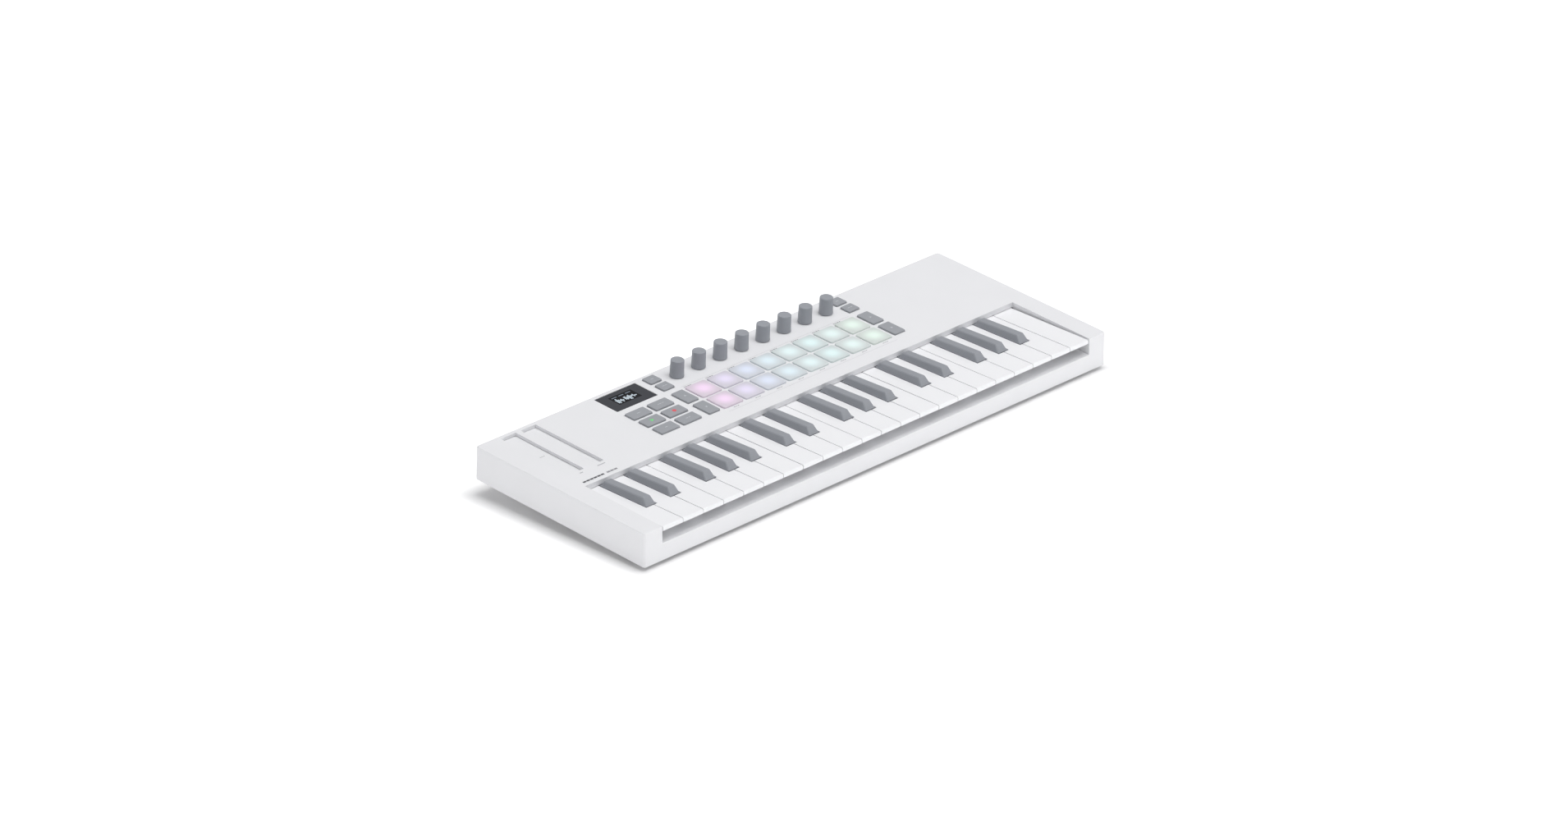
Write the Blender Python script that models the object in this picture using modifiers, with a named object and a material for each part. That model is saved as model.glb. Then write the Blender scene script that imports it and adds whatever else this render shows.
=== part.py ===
"""Compact 37-key controller keyboard, in metres, +Z up.

Everything is laid out in the panel frame: its origin is the middle of the case's front top edge, +X runs
to the right, +Y to the back and +Z out of the panel. One empty tilts that frame, rear up, and lifts it
onto the feet, so the keyboard stands on Z = 0 with its bounding box centred on the origin.
"""
import math

import bmesh
import bpy
from mathutils import Matrix

GAP = 0.0003                      # clearance between pieces that touch
JOIN_DEPTH = 0.001                # how far a joined wall, post or lip runs into its neighbour

# Stance
PANEL_TILT = math.radians(3.27)
FRONT_CLEARANCE = 0.003           # floor to the case's front bottom edge

# Case
CASE_WIDTH = 0.478
CASE_DEPTH = 0.1737
CASE_HEIGHT = 0.0269
WALL = 0.0025
CORNER_RADIUS = 0.0022
EDGE_RADIUS = 0.0008
FLOOR_THICKNESS = 0.0022
SHELF_TOP = -0.0132               # top of the front rail, below the key fronts
SHELF_THICKNESS = 0.002
SHELF_DEPTH = 0.013
CHEEK_WALL = 0.002
CHEEK_SETBACK = 0.0002            # the cheek walls stand this far behind the panel's edge
INNER_WALL_BOTTOM = -0.0243
SLOT_WIDTH = 0.4424
SLOT_BACK = 0.07855
CURTAIN_BOTTOM = -0.0041          # lower edge of the panel's lip behind the keys
CURTAIN_THICKNESS = 0.0016
BOSS_RADIUS = 0.003
SCREW_HOLE_RADIUS = 0.0017
SCREW_HEAD_RADIUS = 0.0032
SCREW_HEAD_DEPTH = 0.001

# Feet
FOOT_HALF_LENGTH = 0.19
RISER_MARGIN = 0.003
FRONT_RISER_BOTTOM = -0.0283
FRONT_FOOT_Y = (0.0125, 0.0215)
REAR_RISER_BOTTOM = -0.0349
REAR_FOOT_Y = (0.1395, 0.1505)

# Keys
WHITE_COUNT = 22
KEY_PITCH = 0.02004
KEY_GAP = 0.0007
KEY_FRONT_TOP = -0.0007           # panel-frame height of the white keys at their front edge
KEY_SLOPE = math.tan(math.radians(2.77))
KEY_LIP_BOTTOM = -0.004
KEY_LIP_DEPTH = 0.0125
KEY_SKIRT_FRONT = 0.014
KEY_SKIRT_BOTTOM = -0.0095
KEY_ROOF = 0.0018
KEY_SIDE = 0.0012
KEY_FRONT_RADIUS = 0.0012
BLACK_FRONT = 0.0303
BLACK_BACK = 0.078
BLACK_WIDTH = 0.010
BLACK_SKIRT = 0.0005              # how far the black key's foot stands above the white keys
BLACK_CLEARANCE = 0.0005
CAP_INSET = 0.0002
CAP_TOP_WIDTH = 0.007
CAP_TOP_FRONT = (0.0355, 0.003)
CAP_TOP_BACK = (0.0753, 0.0)
HINGE_Y = 0.090
HINGE_Z = -0.010
HOOK_HALF_DEPTH = 0.004
HOOK_BOTTOM = -0.0128
HOOK_SLOT_HALF = 0.0018
HOOK_SLOT_TOP = -0.0082
TAIL_START = 0.081
TAIL_TOP = -0.0049
TAIL_SIDE_GAP = 0.0008

# Key bed
CHASSIS_HALF_WIDTH = 0.2204
CHASSIS_Y = (0.014, 0.0945)
CHASSIS_FLOOR = (-0.0243, -0.0223)
STOP_RAIL_Y = (0.0155, 0.0195)
STOP_RAIL_TOP = -0.0136
RIDGE_RADIUS = 0.0015
BOARD_RIBS_Y = ((0.040, 0.042), (0.0703, 0.0723))
CONTACT_BOARD_Y = (0.037, 0.0756)
CONTACT_BOARD_Z = (-0.0179, -0.0163)
RIB_TOP = CONTACT_BOARD_Z[0] - GAP
DOME_Y = 0.057
DOME_TOP = -0.0116
DOME_RADII = (0.0032, 0.0022)

# Panel controls
PAD_PITCH = 0.022154
PAD_COLUMNS = 8
FIRST_PAD_X = -0.0538
PAD_ROWS_Y = (0.1071, 0.12925)
PAD_SIZE = 0.0195
PAD_CORNER = 0.0016
PAD_HEIGHT = 0.0014
SIDE_COLUMN_OFFSET = 0.0189       # from the outer pads' centres to the button columns
SIDE_BUTTON_WIDTH = 0.011
TALL_BUTTON_HEIGHT = 0.0179
SMALL_BUTTON_HEIGHT = 0.010
SMALL_BUTTON_ROWS_Y = (0.1505, 0.1639)
TRANSPORT_X = (-0.1168, -0.09465)
TRANSPORT_ROWS_Y = (0.1036, 0.1179, 0.1322)
TRANSPORT_SIZE = (0.0183, 0.0106)
BUTTON_HEIGHT = 0.0014
BUTTON_CORNER = 0.0008
MAT_Z = (-0.0042, -0.0028)
MAT_MARGIN = 0.0012
PLUNGER_BOTTOM = -0.0082
CONTROL_GAP = 0.0003              # between a pad or button and its hole in the panel

# Knobs and their encoders
KNOB_ROW_Y = 0.1572
KNOB_TOP = 0.0138
KNOB_BOTTOM = 0.0004
KNOB_TOP_RADIUS = 0.00515
KNOB_BASE_RADIUS = 0.00545
SHAFT_RADIUS = 0.003
SHAFT_BOTTOM = -0.008
SHAFT_HOLE_RADIUS = 0.0035
ENCODER_WIDTH = 0.012
ENCODER_TOP = -0.0029
ENCODER_BORE_RADIUS = 0.0034
ENCODER_BORE_BOTTOM = -0.0084

# Display and touch strips
WINDOW_X = (-0.12566, -0.08518)
WINDOW_Y = (0.1451, 0.1692)
WINDOW_TOP = -0.0002
STRIP_CENTRES_X = (-0.21087, -0.19133)
STRIP_WIDTH = 0.01405
STRIP_Y = (0.0986, 0.16925)
STRIP_TOP = -0.0026
PLATE_CORNER = 0.0006
FLANGE_Z = (-0.004, -0.0028)
FLANGE_MARGIN = 0.0012

# Boards
CONTROL_BOARD_X = (-0.1335, 0.1335)
CONTROL_BOARD_Y = (0.0957, 0.1705)
CONTROL_BOARD_Z = (-0.0111, -0.0095)
DISPLAY_MODULE = ((-0.120, 0.147, -0.0098), (-0.091, 0.168, -0.0046))
BOARD_POSTS = tuple((side * 0.130, y) for side in (-1, 1) for y in (0.101, 0.142))
POST_RADIUS = 0.0023
SOCKET_BOARD = ((-0.214, 0.128, -0.020), (-0.150, 0.1703, -0.0184))
SOCKET_FACE = 0.1732              # how far back the sockets' noses reach
JACK_BODY_BACK = 0.1707
SOCKET_FOOT = -0.0189
PEDAL_JACK = dict(x=-0.200, z=-0.0134, width=0.014, top=-0.0076, front=0.1465,
                  nose=0.0045, bore=0.0035, depth=0.020)
MIDI_JACK = dict(x=-0.178, z=-0.0154, width=0.008, top=-0.0119, front=0.158,
                 nose=0.0029, bore=0.0018, depth=0.012)
USB_SOCKET = dict(x=-0.160, z=-0.0166, shell=(0.009, 0.0032), mouth=(0.0083, 0.0025),
                  front=0.163, depth=0.006)
BOSSES = tuple((side * x, y) for side in (-1, 1)
               for x, y in ((0.2298, 0.020), (0.2298, 0.085), (0.2298, 0.160), (0.142, 0.166)))

COLOURS = {                       # base colour, roughness, metallic
    "case_white": ((0.83, 0.83, 0.84), 0.55, 0.0),
    "base_white": ((0.80, 0.80, 0.81), 0.60, 0.0),
    "key_white": ((0.88, 0.88, 0.89), 0.35, 0.0),
    "key_grey": ((0.30, 0.31, 0.33), 0.45, 0.0),
    "knob_grey": ((0.34, 0.35, 0.37), 0.60, 0.0),
    "button_grey": ((0.36, 0.37, 0.39), 0.60, 0.0),
    "pad_silicone": ((0.85, 0.86, 0.90), 0.50, 0.0),
    "display_glass": ((0.03, 0.03, 0.035), 0.12, 0.0),
    "strip_white": ((0.80, 0.80, 0.82), 0.45, 0.0),
    "board_green": ((0.05, 0.20, 0.10), 0.50, 0.0),
    "chassis_grey": ((0.25, 0.25, 0.27), 0.60, 0.0),
    "foot_rubber": ((0.05, 0.05, 0.05), 0.85, 0.0),
}


# ---------------------------------------------------------------- scene helpers

def clear_scene():
    for item in list(bpy.data.objects):
        bpy.data.objects.remove(item, do_unlink=True)


def add_collection(name):
    collection = bpy.data.collections.new(name)
    bpy.context.scene.collection.children.link(collection)
    return collection


def add_panel_frame():
    """The empty that tilts the panel frame and stands it on its feet."""
    bottom_rear_y = CASE_DEPTH * math.cos(PANEL_TILT) + CASE_HEIGHT * math.sin(PANEL_TILT)
    frame = bpy.data.objects.new("panel_frame", None)
    frame.rotation_euler = (PANEL_TILT, 0.0, 0.0)
    frame.location = (0.0, -bottom_rear_y / 2, panel_lift())
    PARTS.objects.link(frame)
    return frame


def panel_lift():
    """Height of the case's front top edge above the floor."""
    return FRONT_CLEARANCE + CASE_HEIGHT / math.cos(PANEL_TILT)


def floor_height(y):
    """Panel-frame height of the floor below a point of the panel frame."""
    return -(panel_lift() + y * math.sin(PANEL_TILT)) / math.cos(PANEL_TILT)


def material(name):
    existing = bpy.data.materials.get(name)
    if existing:
        return existing
    colour, roughness, metallic = COLOURS[name]
    made = bpy.data.materials.new(name)
    made.use_nodes = True
    shader = made.node_tree.nodes["Principled BSDF"]
    shader.inputs["Base Color"].default_value = (*colour, 1.0)
    shader.inputs["Roughness"].default_value = roughness
    shader.inputs["Metallic"].default_value = metallic
    made.diffuse_color = (*colour, 1.0)
    return made


def add_part(name, mesh, finish, location=(0.0, 0.0, 0.0)):
    part = bpy.data.objects.new(name, mesh)
    mesh.materials.clear()
    mesh.materials.append(material(finish))
    part.parent = FRAME
    part.location = location
    PARTS.objects.link(part)
    return part


def add_cutter(name, mesh):
    tool = bpy.data.objects.new(name, mesh)
    tool.parent = FRAME
    tool.hide_render = True
    tool.display_type = "WIRE"
    CUTTERS.objects.link(tool)
    return tool


def combine(part, operation, tool_name, mesh):
    """Cut or join one mesh to a part with an exact Boolean."""
    step = part.modifiers.new(tool_name, "BOOLEAN")
    step.operation = operation
    step.solver = "EXACT"
    step.object = add_cutter(tool_name, mesh)


def baked_mesh(part):
    """The part's mesh with its modifiers applied, for pieces that repeat."""
    bpy.context.view_layer.update()
    depsgraph = bpy.context.evaluated_depsgraph_get()
    mesh = bpy.data.meshes.new_from_object(part.evaluated_get(depsgraph))
    for step in part.modifiers:
        bpy.data.objects.remove(step.object, do_unlink=True)
    bpy.data.objects.remove(part, do_unlink=True)
    return mesh


# ---------------------------------------------------------------- mesh helpers

def finish_mesh(name, bm):
    bmesh.ops.recalc_face_normals(bm, faces=bm.faces)
    mesh = bpy.data.meshes.new(name)
    bm.to_mesh(mesh)
    bm.free()
    return mesh


def add_box(bm, low, high, corner=0.0, segments=2):
    """A box between two corners; its upright edges may be rounded."""
    size = [h - l for l, h in zip(low, high)]
    centre = [(h + l) / 2 for l, h in zip(low, high)]
    place = Matrix.Translation(centre) @ Matrix.Diagonal((*size, 1.0))
    verts = bmesh.ops.create_cube(bm, size=1.0, matrix=place)["verts"]
    if corner:
        edges = {e for v in verts for e in v.link_edges}
        upright = [e for e in edges if abs((e.verts[0].co - e.verts[1].co).z) > size[2] / 2]
        bmesh.ops.bevel(bm, geom=upright, offset=corner, segments=segments,
                        affect="EDGES", profile=0.5)


def add_cylinder(bm, centre, radius, low, high, axis="Z", segments=12, top_radius=None):
    """A cylinder or cone from low to high along one axis of the panel frame."""
    turn = Matrix.Rotation(-math.pi / 2, 4, "X") if axis == "Y" else Matrix.Identity(4)
    middle = (low + high) / 2
    place = (centre[0], middle, centre[1]) if axis == "Y" else (centre[0], centre[1], middle)
    bmesh.ops.create_cone(bm, cap_ends=True, segments=segments, radius1=radius,
                          radius2=radius if top_radius is None else top_radius,
                          depth=high - low, matrix=Matrix.Translation(place) @ turn)


def box_mesh(name, low, high, corner=0.0, segments=2):
    bm = bmesh.new()
    add_box(bm, low, high, corner, segments)
    return finish_mesh(name, bm)


def side_outline_mesh(name, outline, x_low, x_high):
    """Extrude a closed outline of (y, z) points along X."""
    curve = bpy.data.curves.new(name, "CURVE")
    curve.dimensions = "2D"
    curve.fill_mode = "BOTH"
    curve.extrude = (x_high - x_low) / 2
    spline = curve.splines.new("POLY")
    spline.points.add(len(outline) - 1)
    for point, (y, z) in zip(spline.points, outline):
        point.co = (y, z, 0.0, 1.0)
    spline.use_cyclic_u = True
    holder = bpy.data.objects.new(name, curve)
    bpy.context.scene.collection.objects.link(holder)
    bpy.context.view_layer.update()
    depsgraph = bpy.context.evaluated_depsgraph_get()
    mesh = bpy.data.meshes.new_from_object(holder.evaluated_get(depsgraph))
    bpy.data.objects.remove(holder, do_unlink=True)
    bm = bmesh.new()
    bm.from_mesh(mesh)
    bpy.data.meshes.remove(mesh)
    bmesh.ops.remove_doubles(bm, verts=bm.verts, dist=0.000001)
    upright = Matrix(((0, 0, 1, (x_low + x_high) / 2), (1, 0, 0, 0), (0, 1, 0, 0), (0, 0, 0, 1)))
    bmesh.ops.transform(bm, matrix=upright, verts=bm.verts)
    return finish_mesh(name, bm)


def arc(centre, radius, start, end, steps):
    """Points on an arc in the (y, z) plane, with angles in degrees from +Y towards +Z."""
    angles = [math.radians(start + (end - start) * i / steps) for i in range(steps + 1)]
    return [(centre[0] + radius * math.cos(a), centre[1] + radius * math.sin(a)) for a in angles]


def shifted(mesh, y, z):
    """Move a mesh's vertices, so that its own origin lies at the given point."""
    mesh.transform(Matrix.Translation((0.0, -y, -z)))
    return mesh


# ---------------------------------------------------------------- panel layout

def pad_columns():
    return [FIRST_PAD_X + i * PAD_PITCH for i in range(PAD_COLUMNS)]


def pad_rectangles():
    return [(x, y, PAD_SIZE, PAD_SIZE) for y in PAD_ROWS_Y for x in pad_columns()]


def side_rectangles(x):
    tall = [(x, y, SIDE_BUTTON_WIDTH, TALL_BUTTON_HEIGHT) for y in PAD_ROWS_Y]
    small = [(x, y, SIDE_BUTTON_WIDTH, SMALL_BUTTON_HEIGHT) for y in SMALL_BUTTON_ROWS_Y]
    return tall + small


def left_rectangles():
    return side_rectangles(pad_columns()[0] - SIDE_COLUMN_OFFSET)


def right_rectangles():
    return side_rectangles(pad_columns()[-1] + SIDE_COLUMN_OFFSET)


def transport_rectangles():
    return [(x, y, *TRANSPORT_SIZE) for y in TRANSPORT_ROWS_Y for x in TRANSPORT_X]


def plate_rectangle(x_range, y_range):
    return (sum(x_range) / 2, sum(y_range) / 2, x_range[1] - x_range[0], y_range[1] - y_range[0])


def strip_rectangle(x):
    return plate_rectangle((x - STRIP_WIDTH / 2, x + STRIP_WIDTH / 2), STRIP_Y)


def add_rectangle(bm, rectangle, low, high, corner, grow=0.0):
    x, y, width, height = rectangle
    half_x, half_y = width / 2 + grow, height / 2 + grow
    add_box(bm, (x - half_x, y - half_y, low), (x + half_x, y + half_y, high), corner)


# ---------------------------------------------------------------- key layout

def note_table():
    """One entry a note: name, black or white, white index and tail slot, left to right.

    C to E shares three white keys' width among five tails, and F to B four among seven, which also
    sets where the black keys stand.
    """
    notes = []
    groups = ((("c", "cs", "d", "ds", "e"), 3), (("f", "fs", "g", "gs", "a", "as", "b"), 4))
    left, white, octave = -WHITE_COUNT * KEY_PITCH / 2, 0, 3
    while white < WHITE_COUNT:
        for letters, whites in groups:
            slot = whites * KEY_PITCH / len(letters)
            for i, letter in enumerate(letters):
                if white >= WHITE_COUNT:
                    return notes
                black = letter.endswith("s")
                notes.append(dict(name=f"key_{letter}{octave}", black=black, white=white,
                                  slot=slot, centre=left + (i + 0.5) * slot))
                white += 0 if black else 1
            left += whites * KEY_PITCH
        octave += 1
    return notes


def white_top(y):
    return KEY_FRONT_TOP - y * KEY_SLOPE


def hook_outline():
    """Underside of the lever's rear end: a hook that straddles the chassis ridge."""
    front, back = HINGE_Y - HOOK_HALF_DEPTH, HINGE_Y + HOOK_HALF_DEPTH
    slot = (HINGE_Y - HOOK_SLOT_HALF, HINGE_Y + HOOK_SLOT_HALF)
    return [(front, KEY_SKIRT_BOTTOM), (front, HOOK_BOTTOM), (slot[0], HOOK_BOTTOM),
            (slot[0], HOOK_SLOT_TOP), (slot[1], HOOK_SLOT_TOP), (slot[1], HOOK_BOTTOM),
            (back, HOOK_BOTTOM)]


def white_outline():
    nose = arc((KEY_FRONT_RADIUS, white_top(0) - KEY_FRONT_RADIUS), KEY_FRONT_RADIUS, 90, 180, 3)
    front = [(0.0, KEY_LIP_BOTTOM), (KEY_LIP_DEPTH, KEY_LIP_BOTTOM - 0.0004),
             (KEY_SKIRT_FRONT, KEY_SKIRT_BOTTOM)]
    end = HINGE_Y + HOOK_HALF_DEPTH
    return nose + front + hook_outline() + [(end, white_top(end))]


def neck_limits(note, notes):
    """Where the white key's neck runs between the black keys beside it."""
    left = -WHITE_COUNT * KEY_PITCH / 2 + note["white"] * KEY_PITCH + KEY_GAP / 2
    right = left + KEY_PITCH - KEY_GAP
    reach = BLACK_WIDTH / 2 + BLACK_CLEARANCE
    for other in notes:
        if other["black"] and abs(other["centre"] - left) < KEY_PITCH / 3:
            left = other["centre"] + reach
        if other["black"] and abs(other["centre"] - right) < KEY_PITCH / 3:
            right = other["centre"] - reach
    return left, right


def white_mesh(note, notes):
    """One white key about X = 0 at its left side: head, neck, tail and a hollow underside."""
    left = -WHITE_COUNT * KEY_PITCH / 2 + note["white"] * KEY_PITCH + KEY_GAP / 2
    width = KEY_PITCH - KEY_GAP
    neck = [edge - left for edge in neck_limits(note, notes)]
    tail_half = note["slot"] / 2 - TAIL_SIDE_GAP
    tail = [note["centre"] - left + side * tail_half for side in (-1, 1)]
    over, under = 0.005, -0.020
    key = add_part("white_key", side_outline_mesh("white_key", white_outline(), 0.0, width),
                   "key_white")
    for side, limits in enumerate(zip(neck, tail)):
        for start, edge in zip((BLACK_FRONT - BLACK_CLEARANCE, TAIL_START), limits):
            inner, outer = edge, (-over if side == 0 else width + over)
            if abs(inner - (0.0 if side == 0 else width)) < GAP:
                continue
            low_x, high_x = min(inner, outer), max(inner, outer)
            notch = box_mesh("notch", (low_x, start, under), (high_x, 0.1, over))
            combine(key, "DIFFERENCE", "notch", notch)
    hollow = [(KEY_SIDE, under), (KEY_SIDE, white_top(KEY_SIDE) - KEY_ROOF),
              (TAIL_START, white_top(TAIL_START) - KEY_ROOF), (TAIL_START, under)]
    combine(key, "DIFFERENCE", "hollow",
            side_outline_mesh("hollow", hollow, neck[0] + KEY_SIDE, neck[1] - KEY_SIDE))
    return shifted(baked_mesh(key), HINGE_Y, HINGE_Z), left


def black_mesh():
    """One black key about its middle: a straight foot and lever, with a tapered cap."""
    foot_top = [white_top(y) + BLACK_SKIRT for y in (BLACK_FRONT, BLACK_BACK)]
    end = HINGE_Y + HOOK_HALF_DEPTH
    outline = [(BLACK_FRONT, KEY_SKIRT_BOTTOM)] + hook_outline()
    outline += [(end, white_top(end)), (BLACK_BACK, TAIL_TOP), (BLACK_BACK, foot_top[1]),
                (BLACK_FRONT, foot_top[0])]
    half = BLACK_WIDTH / 2
    key = add_part("black_key", side_outline_mesh("black_key", outline, -half, half), "key_grey")
    combine(key, "UNION", "cap", black_cap_mesh(foot_top))
    hollow = [(BLACK_FRONT + KEY_SIDE, -0.020), (BLACK_FRONT + KEY_SIDE, -0.0045),
              (BLACK_BACK - KEY_SIDE, -0.0065), (BLACK_BACK - KEY_SIDE, -0.020)]
    combine(key, "DIFFERENCE", "hollow",
            side_outline_mesh("hollow", hollow, -half + KEY_SIDE, half - KEY_SIDE))
    return shifted(baked_mesh(key), HINGE_Y, HINGE_Z)


def black_cap_mesh(foot_top):
    """The cap: a box whose top is narrower, shorter and lower at the back."""
    sunk = 0.001
    bottom = ((BLACK_FRONT + CAP_INSET, foot_top[0] - sunk), (BLACK_BACK - CAP_INSET, foot_top[1] - sunk))
    bm = bmesh.new()
    for vert in bmesh.ops.create_cube(bm, size=2.0)["verts"]:
        side, back, up = vert.co
        half = CAP_TOP_WIDTH / 2 if up > 0 else BLACK_WIDTH / 2 - CAP_INSET
        rim = (CAP_TOP_FRONT, CAP_TOP_BACK) if up > 0 else bottom
        y, z = rim[1 if back > 0 else 0]
        vert.co = (side * half, y, z)
    top_edges = [e for e in bm.edges if max(v.co.z for v in e.verts) > -0.0005]
    bmesh.ops.bevel(bm, geom=top_edges, offset=0.0006, segments=1, affect="EDGES")
    return finish_mesh("cap", bm)


# ---------------------------------------------------------------- parts

def make_keys():
    notes = note_table()
    black = black_mesh()
    for note in notes:
        if note["black"]:
            add_part(note["name"], black, "key_grey", (note["centre"], HINGE_Y, HINGE_Z))
        else:
            mesh, left = white_mesh(note, notes)
            add_part(note["name"], mesh, "key_white", (left, HINGE_Y, HINGE_Z))


def case_block_mesh():
    """The case's outer block; its front face stands upright when the panel is tilted."""
    lean = CASE_HEIGHT * math.tan(PANEL_TILT)
    half = CASE_WIDTH / 2
    outline = [(-lean, -CASE_HEIGHT), (CASE_DEPTH, -CASE_HEIGHT), (CASE_DEPTH, 0.0), (0.0, 0.0)]
    mesh = side_outline_mesh("top_case", outline, -half, half)
    bm = bmesh.new()
    bm.from_mesh(mesh)
    bmesh.ops.dissolve_limit(bm, angle_limit=0.01, verts=bm.verts, edges=bm.edges)
    upright = [e for e in bm.edges if abs((e.verts[0].co - e.verts[1].co).z) > CASE_HEIGHT / 2]
    bmesh.ops.bevel(bm, geom=upright, offset=CORNER_RADIUS, segments=3, affect="EDGES", profile=0.5)
    rims = [e for e in bm.edges if abs((e.verts[0].co - e.verts[1].co).z) < CASE_HEIGHT / 4
            and e.calc_face_angle(0.0) > 1.0]
    bmesh.ops.bevel(bm, geom=rims, offset=EDGE_RADIUS, segments=2, affect="EDGES", profile=0.5)
    bm.to_mesh(mesh)
    bm.free()
    return mesh


def case_cavity_mesh():
    below = -CASE_HEIGHT - 0.003
    rail_back = SHELF_DEPTH + 0.002
    rail_under = SHELF_TOP - SHELF_THICKNESS
    outline = [(0.001, below), (0.001, rail_under), (rail_back, rail_under), (rail_back, -WALL),
               (CASE_DEPTH - WALL, -WALL), (CASE_DEPTH - WALL, below)]
    half = CASE_WIDTH / 2 - WALL
    return side_outline_mesh("case_cavity", outline, -half, half)


def cheek_walls_mesh():
    """The walls that close the cheeks beside the keys."""
    inner = SLOT_WIDTH / 2 + CHEEK_SETBACK
    bm = bmesh.new()
    for side in (-1, 1):
        ends = sorted((side * inner, side * (inner + CHEEK_WALL)))
        add_box(bm, (ends[0], SHELF_DEPTH - 0.002, INNER_WALL_BOTTOM),
                (ends[1], SLOT_BACK + CURTAIN_THICKNESS, -WALL + JOIN_DEPTH))
    return finish_mesh("cheek_walls", bm)


def curtain_mesh():
    """The lip that hangs from the panel behind the keys."""
    half = SLOT_WIDTH / 2 + JOIN_DEPTH
    return box_mesh("curtain", (-half, SLOT_BACK - JOIN_DEPTH, CURTAIN_BOTTOM),
                    (half, SLOT_BACK + CURTAIN_THICKNESS - CHEEK_SETBACK, -WALL + JOIN_DEPTH))


def case_posts_mesh():
    """Screw bosses for the bottom case and posts for the control board."""
    bm = bmesh.new()
    for centre in BOSSES:
        add_cylinder(bm, centre, BOSS_RADIUS, INNER_WALL_BOTTOM, -WALL + JOIN_DEPTH)
    for centre in BOARD_POSTS:
        add_cylinder(bm, centre, POST_RADIUS, CONTROL_BOARD_Z[1] + GAP, -WALL + JOIN_DEPTH)
    return finish_mesh("case_posts", bm)


def key_slot_mesh():
    above, below = 0.004, -CASE_HEIGHT - 0.003
    outline = [(-0.006, above), (-0.006, SHELF_TOP), (SHELF_DEPTH, SHELF_TOP), (SHELF_DEPTH, below),
               (SLOT_BACK, below), (SLOT_BACK, above)]
    return side_outline_mesh("key_slot", outline, -SLOT_WIDTH / 2, SLOT_WIDTH / 2)


def panel_holes_mesh():
    """Every hole through the panel and the rear wall."""
    low, high = -0.0085, 0.003
    bm = bmesh.new()
    for rectangle in pad_rectangles():
        add_rectangle(bm, rectangle, low, high, PAD_CORNER, CONTROL_GAP)
    for rectangle in left_rectangles() + right_rectangles() + transport_rectangles():
        add_rectangle(bm, rectangle, low, high, BUTTON_CORNER, CONTROL_GAP)
    plates = [strip_rectangle(x) for x in STRIP_CENTRES_X] + [plate_rectangle(WINDOW_X, WINDOW_Y)]
    for rectangle in plates:
        add_rectangle(bm, rectangle, low, high, PLATE_CORNER, CONTROL_GAP)
    for x in pad_columns():
        add_cylinder(bm, (x, KNOB_ROW_Y), SHAFT_HOLE_RADIUS, low, high)
    for jack in (PEDAL_JACK, MIDI_JACK):
        add_cylinder(bm, (jack["x"], jack["z"]), jack["nose"] + 0.0004, 0.168, 0.178, axis="Y", segments=16)
    half_x, half_z = (size / 2 + 0.0005 for size in USB_SOCKET["shell"])
    add_box(bm, (USB_SOCKET["x"] - half_x, 0.168, USB_SOCKET["z"] - half_z),
            (USB_SOCKET["x"] + half_x, 0.178, USB_SOCKET["z"] + half_z))
    return finish_mesh("panel_holes", bm)


def make_top_case():
    case = add_part("top_case", case_block_mesh(), "case_white")
    combine(case, "DIFFERENCE", "case_cavity", case_cavity_mesh())
    combine(case, "UNION", "cheek_walls", cheek_walls_mesh())
    combine(case, "UNION", "curtain", curtain_mesh())
    combine(case, "UNION", "case_posts", case_posts_mesh())
    combine(case, "DIFFERENCE", "key_slot", key_slot_mesh())
    combine(case, "DIFFERENCE", "panel_holes", panel_holes_mesh())


def make_bottom_case():
    """The floor plate, with a riser for each foot and counterbored screw holes."""
    half = CASE_WIDTH / 2 - WALL - GAP
    top = -CASE_HEIGHT + FLOOR_THICKNESS
    plate = box_mesh("bottom_case", (-half, 0.001 + GAP, -CASE_HEIGHT),
                     (half, CASE_DEPTH - WALL - GAP, top))
    case = add_part("bottom_case", plate, "base_white")
    risers, hollow, holes = bmesh.new(), bmesh.new(), bmesh.new()
    reach = FOOT_HALF_LENGTH + RISER_MARGIN
    for (front, back), bottom in ((FRONT_FOOT_Y, FRONT_RISER_BOTTOM), (REAR_FOOT_Y, REAR_RISER_BOTTOM)):
        add_box(risers, (-reach, front - RISER_MARGIN / 2, bottom),
                (reach, back + RISER_MARGIN / 2, -CASE_HEIGHT + 0.001), 0.002)
    front, back = REAR_FOOT_Y
    add_box(hollow, (-FOOT_HALF_LENGTH, front + 0.0005, REAR_RISER_BOTTOM + 0.002),
            (FOOT_HALF_LENGTH, back - 0.0005, top + 0.002))
    for centre in BOSSES:
        add_cylinder(holes, centre, SCREW_HOLE_RADIUS, -CASE_HEIGHT - 0.002, top + 0.002)
    combine(case, "UNION", "risers", finish_mesh("risers", risers))
    combine(case, "DIFFERENCE", "riser_hollow", finish_mesh("riser_hollow", hollow))
    combine(case, "DIFFERENCE", "screw_holes", finish_mesh("screw_holes", holes))
    heads = bmesh.new()
    for centre in BOSSES:
        add_cylinder(heads, centre, SCREW_HEAD_RADIUS, -CASE_HEIGHT - 0.002, -CASE_HEIGHT + SCREW_HEAD_DEPTH)
    combine(case, "DIFFERENCE", "screw_heads", finish_mesh("screw_heads", heads))


def make_foot(name, y_range, riser_bottom):
    """A rubber strip under a riser; its lower face lies flat on the floor."""
    front, back = y_range
    top = riser_bottom - GAP
    outline = [(front, top), (front, floor_height(front)), (back, floor_height(back)), (back, top)]
    add_part(name, side_outline_mesh(name, outline, -FOOT_HALF_LENGTH, FOOT_HALF_LENGTH), "foot_rubber")


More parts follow.
